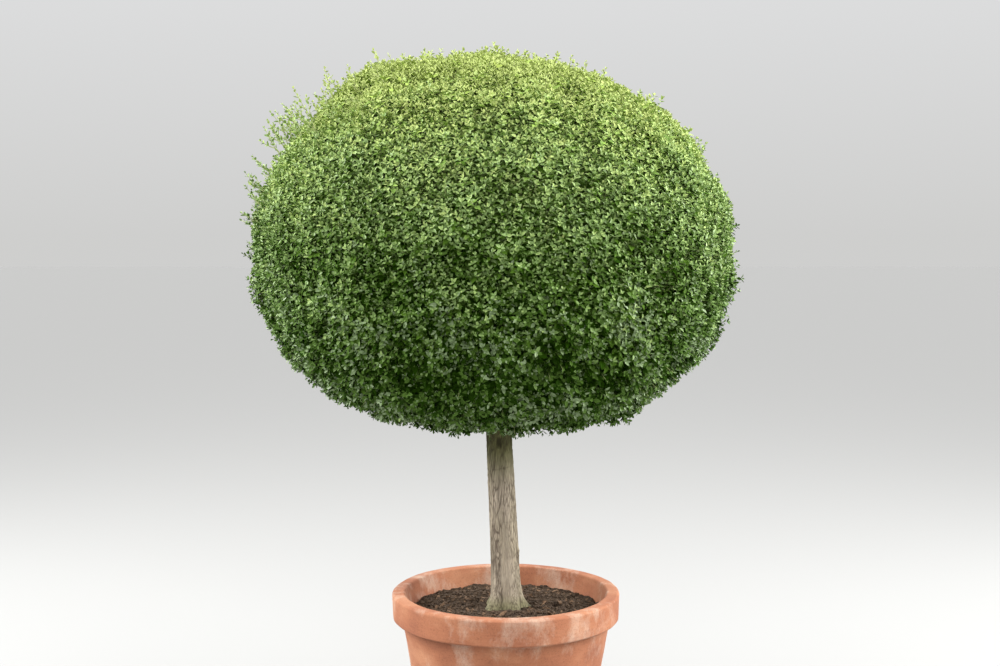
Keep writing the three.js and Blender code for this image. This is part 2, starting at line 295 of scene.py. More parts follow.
def makeSky():
    world = bpy.data.worlds.new("sky")
    world.use_nodes = True
    nodes, links = world.node_tree.nodes, world.node_tree.links
    place = nodes.new("ShaderNodeTexCoord")
    split = nodes.new("ShaderNodeSeparateXYZ")
    shades = nodes.new("ShaderNodeValToRGB")
    fillRamp(shades, light["sky"])
    links.new(place.outputs["Generated"], split.inputs[0])
    links.new(split.outputs["Z"], shades.inputs["Fac"])
    background = nodes["Background"]
    links.new(shades.outputs["Color"], background.inputs["Color"])
    background.inputs["Strength"].default_value = light["skyStrength"]
    bpy.context.scene.world = world


def makeStage():
    makeSky()
    for name, plan in light["lamps"].items():
        data = bpy.data.lights.new(name, "AREA")
        data.size = plan["size"]
        data.energy = plan["power"]
        data.color = plan["color"]
        lamp = addObject(name, data)
        lamp.location = plan["place"]
        lamp.visible_camera = False
        towards = Vector(light["aim"]) - lamp.location
        lamp.rotation_euler = towards.to_track_quat("-Z", "Y").to_euler()
    half = light["floorHalf"]
    corners = np.array([[-half, -half, 0], [half, -half, 0], [half, half, 0], [-half, half, 0]])
    floor = meshPiece("floor", corners, [np.array([[0, 1, 2, 3]])])
    finish, _ = newMaterial("floor", light["floorColor"], light["floorRoughness"], light["floorGloss"])
    floor.data.materials.append(finish)
    bpy.context.scene.view_settings.view_transform = "Standard"


# The crown's clipped surface: wider than high, a little boxier below, as in the solid. On the upper left the
# swell is narrower than the solid's, with a corner on it, and on the lower right there are two dents
crown = {
    "centre": (-0.034, 0.0, 1.420),
    "radius": 0.636,
    "halfHeight": 0.501,
    "upperPower": 1.92,
    "lowerPower": 2.26,
    # where the shears left the surface standing out or went in: way to it, share of the reach, radians across
    "swells": [
        ((-0.56, 0, 0.83), 0.075, 0.26),
        ((-0.60, 0, 0.80), 0.026, 0.13),
        ((0.93, 0, -0.36), 0.035, 0.14),
        ((0.63, 0, -0.78), 0.058, 0.14),
        ((0.50, 0, -0.87), -0.038, 0.08),
        ((0.81, 0, -0.58), -0.030, 0.10),
    ],
    "limbInset": 0.076,  # how far under the surface the boughs end
    "lumps": (0.005, 0.16, 4029),  # the shears leave it a little uneven
    "outlineSteps": 241,  # heights at which its outline is measured
}
crownCentre = np.array(crown["centre"])


def crownPower(directions):
    return np.where(directions[:, 2] > 0, crown["upperPower"], crown["lowerPower"])


def crownReach(directions, inset):
    power = crownPower(directions)
    flat = np.hypot(directions[:, 0], directions[:, 1]) / (crown["radius"] - inset)
    tall = np.abs(directions[:, 2]) / (crown["halfHeight"] - inset)
    swelling = 1
    for towards, share, spread in crown["swells"]:
        away = np.arccos(np.clip(directions @ unit(np.array(towards)), -1, 1))
        swelling = swelling + share * np.exp(-((away / spread) ** 2))
    return (flat**power + tall**power) ** (-1 / power) * swelling


def crownPoints(directions, inset):
    return crownCentre + directions * crownReach(directions, inset)[:, None]


def crownNormals(directions):
    power = crownPower(directions)
    place = directions * crownReach(directions, 0)[:, None]
    flat = np.hypot(place[:, 0], place[:, 1])
    outward = (flat / crown["radius"]) ** (power - 1) / crown["radius"]
    upward = (np.abs(place[:, 2]) / crown["halfHeight"]) ** (power - 1) / crown["halfHeight"]
    around = place[:, :2] / np.maximum(flat, tiny)[:, None] * outward[:, None]
    return unit(np.column_stack([around, np.sign(place[:, 2]) * upward]))


# Evenly spread directions: equal areas up the crown, a golden angle round it, each moved a little at random
def evenDirections(count, rng, jitter):
    elevations = np.linspace(-math.pi / 2, math.pi / 2, crown["outlineSteps"])
    profile = np.column_stack([np.cos(elevations), np.zeros(len(elevations)), np.sin(elevations)])
    profile = profile * crownReach(profile, 0)[:, None]
    steps = np.linalg.norm(np.diff(profile, axis=0), axis=1)
    bands = steps * (profile[1:, 0] + profile[:-1, 0])
    areas = np.concatenate([[0], np.cumsum(bands)])
    wanted = areas[-1] * (np.arange(count) + 0.5) / count
    elevation = np.interp(wanted, areas, elevations)
    turn = np.arange(count) * goldenAngle
    directions = np.column_stack(
        [np.cos(elevation) * np.cos(turn), np.cos(elevation) * np.sin(turn), np.sin(elevation)]
    )
    spacing = math.sqrt(math.pi * areas[-1] / count)
    shift = rng.normal(size=(count, 3)) * jitter * spacing
    return unit(directions + shift / crownReach(directions, 0)[:, None])


# Limbs are curves of three points each
def along(curves, share):
    share = np.reshape(share, (-1, 1))
    return curves[:, 0] * (1 - share) ** 2 + curves[:, 1] * 2 * share * (1 - share) + curves[:, 2] * share**2


def heading(curves, share):
    share = np.reshape(share, (-1, 1))
    return unit((curves[:, 1] - curves[:, 0]) * (1 - share) + (curves[:, 2] - curves[:, 1]) * share)


def chordLengths(curves):
    return np.linalg.norm(curves[:, 2] - curves[:, 0], axis=1)


steepGuide = 0.8  # rise of a guide from which it is crossed with X and not with Z


# Two directions across each axis, and across each other
def crossways(axes, guides):
    helpers = np.where(np.abs(guides[:, 2:3]) > steepGuide, np.array([[1.0, 0, 0]]), np.array([[0, 0, 1.0]]))
    across = unit(np.cross(axes, helpers))
    return across, np.cross(axes, across)


# The direction across each axis that lies at its own turn round it
def acrossAt(axes, turn):
    across, over = crossways(axes, axes)
    return across * np.cos(turn)[:, None] + over * np.sin(turn)[:, None]


# A circle of radius one across each axis
def circles(axes, guides, sides):
    across, over = crossways(axes, guides)
    turns = ringTurns(sides)
    return across[:, None] * np.cos(turns)[None, :, None] + over[:, None] * np.sin(turns)[None, :, None]


def tubes(curves, rootRadius, tipRadius, sides, rings, ease=1.0):
    chords = unit(curves[:, 2] - curves[:, 0])
    layers = []
    for share in np.linspace(0, 1, rings + 1):
        radius = rootRadius + (tipRadius - rootRadius) * share**ease
        layers.append(along(curves, share)[:, None] + circles(heading(curves, share), chords, sides) * radius)
    points = np.concatenate(layers, axis=1)
    faceSets = [repeatedFaces(faces, len(curves), points.shape[1]) for faces in skinFaces(rings + 1, sides)]
    return points.reshape(-1, 3), faceSets


# Three-sided twigs that taper to a point
def spikes(roots, tips, radius):
    axes = unit(tips - roots)
    base = roots[:, None] + radius * circles(axes, axes, 3)
    points = np.concatenate([base, tips[:, None]], axis=1)
    faces = np.array([[0, 1, 3], [1, 2, 3], [2, 0, 3], [2, 1, 0]])
    return points.reshape(-1, 3), [repeatedFaces(faces, len(roots), points.shape[1])]


# The stem, as in the solid, with its bark: long fissures that wander and meet, finer cracks, and old scars
stem = {
    "footRadius": 0.0400,
    "topRadius": 0.0335,
    "flare": 0.030,
    "flareHeight": 0.026,
    "roots": 5,
    "lobes": (0.62, 0.38),  # of the flare: all round, and with the roots
    "lobeDrift": 0.8,  # how unevenly the roots are spread
    "ridge": 0.0009,
    "ridges": (3, 7),  # broad and narrow ones round the stem
    "narrowRidge": 0.7,  # of a broad one
    "ridgeTwist": 0.170,
    "lean": -0.034,
    "bow": -0.0015,
    "sideBow": 0.6,  # of the bow, near the foot
    "bends": (0.3, 0.7),  # shares of the height where the stem's line is held
    "forkHeight": 1.056,
    "headRadius": 0.046,
    "sides": 270,
    "rings": 240,
    "ringEase": 1.12,  # crowds the rings towards the foot
    "headRings": 16,
    "plainFoot": 0.02,  # height up to which the bark's relief fades in
    # the dark of fissures and cracks is painted shade in them
    "fissure": {"width": 0.0086, "height": 0.080, "border": 0.13, "depth": 0.0012, "dark": 0.90, "seed": 11,
                "patchSeed": 31},
    "crack": {"width": 0.0044, "height": 0.028, "border": 0.16, "depth": 0.0005, "dark": 0.72, "seed": 12,
              "patchSeed": 32},
    "patches": {"size": 0.034, "stretch": 5.0, "edge": 0.9, "least": 0.25},  # where they are fainter
    "grain": (0.0002, 0.0035, 13, 4.0),
    "wander": {"reach": 0.0013, "size": 0.024, "seeds": (14, 15, 16), "stretch": 2.0},
    # old scars: turn about the stem, height, half width, half height
    "scars": [
        (1.62, 0.893, 0.0095, 0.017),
        (3.6, 0.78, 0.007, 0.010),
        (5.3, 0.66, 0.008, 0.012),
        (0.35, 0.585, 0.006, 0.009),
    ],
    "scarEdge": (0.12, 0.02, 31),
    "scarRim": {"height": 0.0022, "place": 1.15, "spread": 0.1},
    # the pit's dark is painted shade in the scar's hollow
    "scarPit": {"depth": 0.0042, "spread": 0.42, "dark": 1.1},
    # faint creases across the stem, each with a sway and a fading of its own, and painted shade in them
    "creases": {
        "heights": [0.825, 0.674, 0.555],
        "half": 0.0016,
        "depth": 0.0006,
        "dark": 0.35,
        "sway": {"reach": 0.003, "size": 0.08, "seed": 50},
        "fade": {"size": 0.07, "seed": 60, "range": (-0.2, 0.6)},
    },
    "paintedShade": (0.735, 0.89),  # heights between which the bark gets painted shade from the crown above, darker and greener
    "footDarkening": 0.75,  # darker and greener at the foot, just over the soil
    "footDarkeningFade": (0.004, 0.05),
    "sideShade": 0.20,  # painted shade on the stem's sides, the most on its right
    "otherSide": 0.5,  # of that, on the other side
    "shadedRight": (0.3, 0.95),
    "shadedLeft": (0.5, 1.0),
}
headCentre = np.array([
    stem["lean"] * (stem["forkHeight"] - soilTop) / (crown["centre"][2] - soilTop), 0.0, stem["forkHeight"],
])
footCentre = np.array([0.0, 0.0, stemFoot])
stemRise = headCentre[2] - footCentre[2]


def stemLine(share):
    bow = stem["bow"]
    low, high = (footCentre[2] + stemRise * bend for bend in stem["bends"])
    controls = np.array([
        footCentre, [bow * stem["sideBow"], bow, low], [headCentre[0] + bow, bow, high], headCentre,
    ])
    share = np.reshape(share, (-1, 1))
    rest = 1 - share
    return (controls[0] * rest**3 + controls[1] * 3 * rest**2 * share
            + controls[2] * 3 * rest * share**2 + controls[3] * share**3)


def stemRadius(share, turn):
    climbed = stemRise * share
    radius = stem["footRadius"] + (stem["topRadius"] - stem["footRadius"]) * share
    even, uneven = stem["lobes"]
    lobes = even + uneven * np.cos(stem["roots"] * turn + stem["lobeDrift"] * np.sin(turn))
    radius = radius + stem["flare"] * lobes * np.exp(-climbed / stem["flareHeight"])
    broad, narrow = stem["ridges"]
    ridges = np.sin(broad * turn + climbed / stem["ridgeTwist"]) + stem["narrowRidge"] * np.sin(narrow * turn)
    radius = radius + stem["ridge"] * ridges
    swell = np.sqrt(np.clip(stem["headRadius"] ** 2 - (stemRise - climbed) ** 2, 0, None))
    return np.maximum(radius, swell)


# The stem's points, ways out and turns; the head closes it at the top as a dome
def stemSkin():
    sides = stem["sides"]
    climbs = np.linspace(0, 1, stem["rings"]) ** stem["ringEase"]
    domes = np.linspace(0, math.pi / 2, stem["headRings"] + 1)[1:]
    share = np.repeat(climbs, sides)
    tilt = np.repeat(np.concatenate([np.zeros(len(climbs)), domes]), sides)
    turn = np.tile(ringTurns(sides), len(climbs) + len(domes))
    outward = np.column_stack([np.cos(turn) * np.cos(tilt), -np.sin(turn) * np.cos(tilt), np.sin(tilt)])
    domePoints = len(turn) - len(share)
    radius = np.concatenate([stemRadius(share, turn[:len(share)]), np.full(domePoints, stem["headRadius"])])
    middle = np.concatenate([stemLine(share), np.repeat(headCentre[None], domePoints, axis=0)])
    return middle + outward * radius[:, None], outward, turn


def barkRelief(points):
    wander, patches = stem["wander"], stem["patches"]
    sways = [field(points, wander["size"], seed, wander["stretch"]) for seed in wander["seeds"]]
    swayed = points + wander["reach"] * np.column_stack(sways)
    depth = np.zeros(len(points))
    dark = np.zeros(len(points))
    for plan in (stem["fissure"], stem["crack"]):
        crease = np.exp(-((cells(swayed, plan["width"], plan["height"], plan["seed"]) / plan["border"]) ** 2))
        patch = field(points, patches["size"], plan["patchSeed"], patches["stretch"])
        strong = smoothStep(-patches["edge"], patches["edge"], patch)
        strength = patches["least"] + (1 - patches["least"]) * strong
        depth -= plan["depth"] * crease * strength
        # painted shade in the fissures and cracks
        dark += plan["dark"] * crease * strength
    return depth + relief(points, stem["grain"]), np.clip(dark, 0, 1)


def addCreases(points, depth, dark):
    plan = stem["creases"]
    sway, fade = plan["sway"], plan["fade"]
    for number, height in enumerate(plan["heights"]):
        level = points[:, 2] - height + sway["reach"] * field(points, sway["size"], sway["seed"] + number)
        there = smoothStep(*fade["range"], field(points, fade["size"], fade["seed"] + number))
        crease = np.exp(-((level / plan["half"]) ** 2)) * there
        depth = depth - plan["depth"] * crease
        # painted shade in the crease
        dark = np.clip(dark + plan["dark"] * crease, 0, 1)
    return depth, dark


def addScars(points, turn, depth, dark):
    rim, pit = stem["scarRim"], stem["scarPit"]
    for scarTurn, height, halfWidth, halfHeight in stem["scars"]:
        sideways = np.angle(np.exp(1j * (turn - scarTurn))) * stem["topRadius"]
        away = np.hypot(sideways / halfWidth, (points[:, 2] - height) / halfHeight)
        away = away * (1 + relief(points, stem["scarEdge"]))
        depth = depth + rim["height"] * np.exp(-((away - rim["place"]) ** 2) / rim["spread"])
        hollow = np.exp(-(away**2) / pit["spread"])
        depth = depth - pit["depth"] * hollow
        # painted shade in the scar's hollow
        dark = np.clip(dark + pit["dark"] * hollow, 0, 1)
    return depth, dark


# Painted shade on the bark, darker and greener, under the crown and on the stem's sides; also darker and
# greener at the foot, just over the soil
def stemPaintedShade(points, outward):
    paintedShade = stem["footDarkening"] * (1 - smoothStep(*stem["footDarkeningFade"], points[:, 2] - footCentre[2]))
    paintedShade = np.maximum(paintedShade, smoothStep(*stem["paintedShade"], points[:, 2]))
    sideways = outward[:, 0]
    other = stem["otherSide"] * smoothStep(*stem["shadedLeft"], -sideways)
    sideShading = smoothStep(*stem["shadedRight"], sideways) + other
    return np.maximum(paintedShade, stem["sideShade"] * sideShading)


def makeStem():
    points, outward, turn = stemSkin()
    depth, dark = barkRelief(points)
    depth, dark = addCreases(points, depth, dark)
    depth, dark = addScars(points, turn, depth, dark)
    fade = smoothStep(0, stem["plainFoot"], points[:, 2] - footCentre[2])
    points = points + outward * (depth * fade)[:, None]
    faces = skinFaces(stem["rings"] + stem["headRings"], stem["sides"], clockwise=True)
    piece = meshPiece("stem_bark", points, faces, smooth=True)
    addPointValues(piece, "dark", dark)
    addPointValues(piece, "paintedShade", stemPaintedShade(points, outward))
    return piece


# Six boughs round the head, low and high in turn, and a leader, by the solid's rule
fork = {
    "boughs": 6,
    "firstTurn": 0.35,
    "low": {"leave": 0.24, "reach": -0.2},
    "high": {"leave": 0.66, "reach": 0.52},
    "leader": {"leave": 1.48, "reach": 1.42, "turn": 0.5},
    "bend": 0.45,
    "rootRadius": 0.0150,
    "tipRadius": 0.0085,
    "leaderRadius": 0.0190,
    "sides": 30,
    "rings": 60,
    "ease": 0.8,
    "relief": 0.55,  # of the stem's
    "collar": 0.006,  # how much thicker a bough is where it leaves the head
    "collarShare": 0.06,
}


def aim(turn, elevation):
    return np.array([
        math.cos(elevation) * math.cos(turn), math.cos(elevation) * math.sin(turn), math.sin(elevation),
    ])


def boughCurve(turn, plan):
    tip = crownPoints(aim(turn, plan["reach"])[None], crown["limbInset"])[0]
    bend = headCentre + aim(turn, plan["leave"]) * np.linalg.norm(tip - headCentre) * fork["bend"]
    return np.array([headCentre, bend, tip])


def boughCurves():
    curves = []
    for i in range(fork["boughs"]):
        turn = (i + fork["firstTurn"]) * 2 * math.pi / fork["boughs"]
        curves.append(boughCurve(turn, fork["low"] if i % 2 == 0 else fork["high"]))
    curves.append(boughCurve(fork["leader"]["turn"], fork["leader"]))
    return np.array(curves)


def makeBough(name, curve, rootRadius):
    sides, rings = fork["sides"], fork["rings"]
    points, faces = tubes(curve[None], rootRadius, fork["tipRadius"], sides, rings, fork["ease"])
    shares = np.repeat(np.linspace(0, 1, rings + 1), sides)
    middles = along(np.repeat(curve[None], len(shares), axis=0), shares)
    outward = unit(points - middles)
    depth, dark = barkRelief(points)
    collar = fork["collar"] * np.exp(-shares / fork["collarShare"])
    points = points + outward * (depth * fork["relief"] + collar)[:, None]
    piece = meshPiece(name, points, faces, smooth=True)
    addPointValues(piece, "dark", dark)
    # the boughs lie inside the crown: painted shade all over them
    addPointValues(piece, "paintedShade", np.ones(len(points)))
    return piece


white = (1, 1, 1)
bark = {
    "light": (0.430, 0.367, 0.288),
    "tan": (0.354, 0.299, 0.235),
    "grey": (0.288, 0.244, 0.193),
    # painted shade in fissures, cracks, creases and scar pits
    "fissure": (0.105, 0.081, 0.059),
    "stain": (0.80, 0.82, 0.74),
    "streak": (0.78, 0.76, 0.73),
    # painted shade, greened by light off the leaves
    "paintedShade": (0.355, 0.405, 0.204),
    "roughness": 0.86,
    "bump": 0.0006,
}


def barkMaterial():
    material, shader = newMaterial("bark", bark["tan"], bark["roughness"], specular=0.3)
    plates = objectNoise(material, scale=60, detail=5, stretch=(1, 1, 0.13), rough=0.62)
    color = ramp(material, plates, [(0.34, bark["grey"]), (0.5, bark["tan"]), (0.64, bark["light"])])
    stains = objectNoise(material, scale=9, detail=3, stretch=(1, 1, 0.5))
    color = multiply(material, color, ramp(material, stains, [(0.3, bark["stain"]), (0.7, white)]))
    streaks = objectNoise(material, scale=330, detail=3, stretch=(1, 1, 0.1), rough=0.6)
    color = multiply(material, color, ramp(material, streaks, [(0.34, bark["streak"]), (0.52, white)]))
    # painted shade, dark in the fissures, cracks, creases and scar pits
    color = mix(material, pointValue(material, "dark"), color, bark["fissure"])
    # painted shade from the crown and on the stem's sides
    paintedShade = ramp(material, pointValue(material, "paintedShade"), [(0.0, white), (1.0, bark["paintedShade"])])
    setColor(material, shader, multiply(material, color, paintedShade))
    addBump(material, shader, objectNoise(material, scale=420, detail=4, stretch=(1, 1, 0.2)), bark["bump"])
    return material


# Branches, twigs and sprays: each level grows on from the nearest limb of the last, to evenly spread places
branching = {
    "branches": {"count": 80, "inset": 0.165, "radii": (0.0075, 0.0042), "sides": 7, "rings": 6, "bend": 0.7},
    "twigs": {"count": 560, "inset": 0.092, "radii": (0.0040, 0.0022), "sides": 5, "rings": 3, "bend": 0.6},
    "sprays": {"count": 4300, "inset": 0.038, "radii": (0.0020, 0.0012), "sides": 3, "rings": 1, "bend": 0.0},
}
growth = {
    "seed": 5,
    "jitter": 0.3,
    "insetSpread": (0.85, 1.15),
    "behind": 0.05,  # how far back from its tip a limb looks for its root
    "boughShares": (0.34, 0.5, 0.66, 0.82, 1.0),  # where limbs may leave a bough
    "limbShares": (0.55, 0.7, 0.85, 1.0),
    "clearOfStem": 0.056,  # nothing grows nearer to the stem's middle
}


def farFromStem(points):
    share = np.clip((points[:, 2] - footCentre[2]) / stemRise, 0, 1)
    middle = stemLine(share)
    away = np.hypot(points[:, 0] - middle[:, 0], points[:, 1] - middle[:, 1])
    return (away > growth["clearOfStem"]) | (points[:, 2] > headCentre[2])


def growOn(parents, tips, behind, bend, shares):
    places = np.concatenate([along(parents, share) for share in shares])
    tree = KDTree(len(places))
    for index, place in enumerate(places):
        tree.insert(place, index)
    tree.balance()
    found = np.array([tree.find(place)[1] for place in tips - behind])
    parent = found % len(parents)
    share = np.array(shares)[found // len(parents)]
    roots = places[found]
    reach = np.linalg.norm(tips - roots, axis=1, keepdims=True)
    bends = unit(heading(parents[parent], share) * bend + unit(tips - roots) * (1 - bend * 0.5))
    return np.stack([roots, roots + bends * reach * 0.5, tips], axis=1), parent


def makeLimbs(boughs):
    rng = np.random.default_rng(growth["seed"])
    limbs = {}
    parents, shares = boughs, growth["boughShares"]
    for name, plan in branching.items():
        directions = evenDirections(plan["count"], rng, growth["jitter"])
        inset = plan["inset"] * rng.uniform(*growth["insetSpread"], plan["count"])
        tips = crownPoints(directions, inset)
        clear = farFromStem(tips)
        behind = crownNormals(directions[clear]) * growth["behind"]
        curves, _ = growOn(parents, tips[clear], behind, plan["bend"], shares)
        limbs[name] = curves
        parents, shares = curves, growth["limbShares"]
        print(f"{name}: {len(curves)}")
    return limbs


# Leaves: a blade with its own outline, folded along the midrib into two halves. Those deep inside are plainer
leafShapes = {
    # share of the length, share of the width, lift off the midrib
    "blade": {
        "outline": [(0.0, 0.0, 0.0), (0.30, 0.47, 0.12), (0.70, 0.40, 0.10), (1.0, 0.0, -0.10),
                    (0.70, -0.40, 0.10), (0.30, -0.47, 0.12)],
        "halves": [[0, 1, 2, 3], [0, 3, 4, 5]],
    },
    "plainBlade": {
        "outline": [(0.0, 0.0, 0.0), (0.45, 0.5, 0.14), (1.0, 0.0, -0.10), (0.45, -0.5, 0.14)],
        "halves": [[0, 1, 2], [0, 2, 3]],
    },
}


def blades(shape, bases, directions, faces, lengths, widths):
    across = np.cross(directions, faces)
    points = []
    for forward, sideways, lift in shape["outline"]:
        points.append(
            bases
            + directions * (lengths * forward)[:, None]
            + across * (widths * sideways)[:, None]
            + faces * (widths * lift)[:, None]
        )
    return np.stack(points, axis=1)


def squareTo(directions, faces):
    return unit(faces - directions * dots(faces, directions))


# How much leaves differ, the first by shoot, the rest by pair or leaf
leafChance = {
    "vigour": (0.86, 1.14),
    "gap": (0.8, 1.2),
    "turn": 0.16,
    "sway": 0.12,
    "length": (0.85, 1.15),
    "width": (0.88, 1.12),
    "tone": 0.28,
}


# Opposite pairs on each shoot, each pair turned across the last, from the tip back
def pairsOn(curves, plan, tones, sizes, rng):
    count = len(curves)
    lengths = chordLengths(curves)
    phase = rng.uniform(0, 2 * math.pi, count)
    vigour = rng.uniform(*leafChance["vigour"], count)
    back = np.zeros(count)
    made = {"blade": ([], []), "plainBlade": ([], [])}
    for pair, (gap, size, angle) in enumerate(plan["pairs"]):
        kind = "blade" if pair < plan["plainFrom"] else "plainBlade"
        back = back + gap * sizes * vigour * rng.uniform(*leafChance["gap"], count)
        share = 1 - back / lengths
        held = share > plan["bare"]
        share = np.clip(share, 0, 1)
        axes, bases = heading(curves, share), along(curves, share)
        side = acrossAt(axes, phase + pair * math.pi / 2 + rng.normal(0, leafChance["turn"], count))
        for sign in (1, -1):
            keep = held & (rng.uniform(size=count) > plan["lost"])
            tilt = np.radians(angle + rng.normal(0, plan["angleSpread"], count))[:, None]
            direction = axes * np.cos(tilt) + side * sign * np.sin(tilt)
            direction = unit(direction + rng.normal(0, leafChance["sway"], (count, 3)))
            face = axes + up * plan["towardsSky"] + rng.normal(0, plan["roll"], (count, 3))
            face = squareTo(direction, face)
            length = plan["length"] * size * sizes * vigour * rng.uniform(*leafChance["length"], count)
            width = length * plan["slender"] * rng.uniform(*leafChance["width"], count)
            toned = tones + plan["toneByPair"][pair] + rng.normal(0, leafChance["tone"], count)
            leaves, leafTone = made[kind]
            leaves.append(blades(leafShapes[kind], bases, direction, face, length, width)[keep])
            leafTone.append(toned[keep])
    return made


# Tone by height in the crown, from -1 at the bottom to 1 at the top: 0 is the deepest, 5 the palest.
# Paler up top is partly young growth and partly painted light from above; darker below is painted shade
toning = {
    "heights": [-1.0, -0.5, 0.0, 0.45, 0.75, 1.0],
    "levels": [0.2, 0.55, 1.35, 2.6, 4.0, 5.4],
    # patches of paler and darker tone: partly the leaves' own, partly painted light and shade
    "patches": (0.17, 0.24, 5150),
    "bySpray": 0.20,
    "byShoot": 0.3,
}


# Height in the crown, from -1 at its bottom to 1 at its top
def heightIn(points):
    return (points[:, 2] - crownCentre[2]) / crown["halfHeight"]


def toneAt(points):
    return np.interp(heightIn(points), toning["heights"], toning["levels"])


def shootTones(points, sprayShare, rng):
    tones = toneAt(points) + relief(points, toning["patches"]) + toning["bySpray"] * sprayShare
    return tones + rng.normal(0, toning["byShoot"], len(points))


# Lit and shaded copies of one leaf: the darker steps are painted shade, the paler ones painted light, partly
# also young growth
leafTones = {
    "shade": {"color": (0.018, 0.048, 0.003), "roughness": 0.60, "gloss": 0.03},
    "deep": {"color": (0.074, 0.141, 0.022), "roughness": 0.55, "gloss": 0.10},
    "green": {"color": (0.172, 0.268, 0.077), "roughness": 0.46, "gloss": 0.36},
    "mid": {"color": (0.272, 0.382, 0.120), "roughness": 0.48, "gloss": 0.34},
    "freshAndLit": {"color": (0.367, 0.464, 0.162), "roughness": 0.58, "gloss": 0.05},
    "lime": {"color": (0.384, 0.451, 0.163), "roughness": 0.68, "gloss": 0.0},
    "sage": {"color": (0.198, 0.276, 0.130), "roughness": 0.46, "gloss": 0.40},
}
sunSteps = len(leafTones) - 2  # the palest step; after it comes sage
# Lit leaves low in the crown, dull and bluish: painted cool light from below
sage = {
    "height": -0.40,  # in the crown, below which they lie
    "sway": (0.10, 0.12, 42),  # of that height
    "blend": 0.16,
    "blendSeed": 43,
    "from": 2,  # the deepest step that turns to sage
}
mostLeaves = 45000  # in one piece


def leafMaterial(tone, kind):
    name = f"leaf_{tone}" if kind == "blade" else f"inner_leaf_{tone}"
    plan = leafTones[tone]
    color, gloss = plan["color"], plan["gloss"]
    if kind == "plainBlade":
        color = tuple(part * share for part, share in zip(color, inner["tint"]))
        gloss = gloss * inner["gloss"]
    return newMaterial(name, color, plan["roughness"], gloss)[0]


def addCrownPiece(pieces, name, shape, material, slot="foliage", smooth=False):
    piece = meshPiece(name, *shape, smooth)
    finishPiece(piece, material, slot)
    pieces.append(piece)


def makeLeafPieces(kind, leaves, tones, prefix):
    halves, corners = np.array(leafShapes[kind]["halves"]), len(leafShapes[kind]["outline"])
    steps = np.clip(np.round(tones), 0, sunSteps).astype(int)
    blend = np.random.default_rng(sage["blendSeed"]).normal(0, sage["blend"], len(leaves))
    height = heightIn(leaves[:, 0]) + relief(leaves[:, 0], sage["sway"]) + blend
    # lit leaves low in the crown take the sage tone: painted cool light from below
    steps[(height < sage["height"]) & (steps >= sage["from"])] = len(leafTones) - 1
    pieces = []
    for step, tone in enumerate(leafTones):
        chosen = leaves[steps == step]
        if not len(chosen):
            continue
        material = leafMaterial(tone, kind)
        for part, group in enumerate(np.array_split(chosen, math.ceil(len(chosen) / mostLeaves))):
            shape = group.reshape(-1, 3), [repeatedFaces(halves, len(group), corners)]
            addCrownPiece(pieces, f"{prefix}_{tone}_{part + 1}", shape, material)
    return pieces


# The short shoots that make the clipped surface
shoots = {
    "seed": 7,
    "count": 22800,
    "jitter": 0.16,
    "stray": 0.042,  # share of the shoots that have grown on since the clipping
    "straysOnTop": 1.2,  # how many times more there are at the very top
    "strayReach": 0.025,
    "strayLeast": 0.3,  # of that reach, for the shortest and for those low down
    "radius": 0.0011,
    "rootDepth": 0.044,  # how far behind its tip a shoot starts
    "rootShares": (0.4, 0.7, 1.0),  # where it may leave a spray
    "lean": 0.95,  # towards the sky, beside one straight out
    "leanHeights": (-1.0, -0.55),  # heights in the crown where the lean starts and is full
    # gap back along the shoot, size, angle from the shoot in degrees
    "pairs": [
        (0.0010, 0.62, 34),
        (0.0048, 0.90, 54),
        (0.0070, 1.02, 66),
        (0.0080, 1.25, 74),
        (0.0085, 1.75, 82),
    ],
    "plainFrom": 3,  # pairs further back have plain leaves
    "bare": 0.08,
    "lost": 0.03,
    "angleSpread": 9,
    "towardsSky": 0.20,
    "roll": 0.22,
    "length": 0.0140,
    "slender": 0.57,
    # by pair from the tip: the tips paler, partly young leaves and partly painted light; pairs further back
    # darker, painted shade
    "toneByPair": [1.3, 0.75, 0.1, -0.5, -0.8],
    # by height in the crown, from -1 at the bottom: size of leaf, share of shoots, and where their tips lie
    # beside the clipped surface, at the least and at the most
    "heights": [-1.0, -0.92, -0.6, -0.2, 0.55, 0.85],
    "leafSizes": [1.42, 1.34, 1.18, 1.0, 1.0, 1.0],
    "shares": [0.66, 0.72, 0.86, 1.0, 1.0, 1.0],
    "deepest": [-0.042, -0.030, -0.023, -0.013, -0.012, -0.005],
    "proudest": [-0.010, 0.003, 0.005, 0.006, 0.006, 0.005],
}


def makeShoots(sprays):
    rng = np.random.default_rng(shoots["seed"])
    count, least = shoots["count"], shoots["strayLeast"]
    directions = evenDirections(count, rng, shoots["jitter"])
    surface = crownPoints(directions, 0)
    height = heightIn(surface)
    levels = (shoots[name] for name in ("deepest", "proudest", "shares", "leafSizes"))
    deepest, proudest, shares, sizes = (np.interp(height, shoots["heights"], level) for level in levels)
    proud = rng.uniform(deepest, proudest)
    topShare = 1 + shoots["straysOnTop"] * np.clip(directions[:, 2], 0, 1)
    strays = rng.uniform(size=count) < shoots["stray"] * topShare
    grown = strays * rng.uniform(least, 1, count) * shoots["strayReach"]
    proud = proud + grown * np.clip(1 + height, least, 1) + relief(surface, crown["lumps"])
    tips = surface + crownNormals(directions) * proud[:, None]
    kept = farFromStem(tips) & (rng.uniform(size=count) < shares)
    directions, tips = directions[kept], tips[kept]
    lean = shoots["lean"] * smoothStep(*shoots["leanHeights"], height[kept])
    behind = unit(crownNormals(directions) + up * lean[:, None]) * shoots["rootDepth"]
    curves, parent = growOn(sprays, tips, behind, 0.0, shoots["rootShares"])
    sprayShare = rng.normal(size=len(sprays))
    tones = shootTones(tips, sprayShare[parent], rng)
    return curves, pairsOn(curves, shoots, tones, sizes[kept], rng)


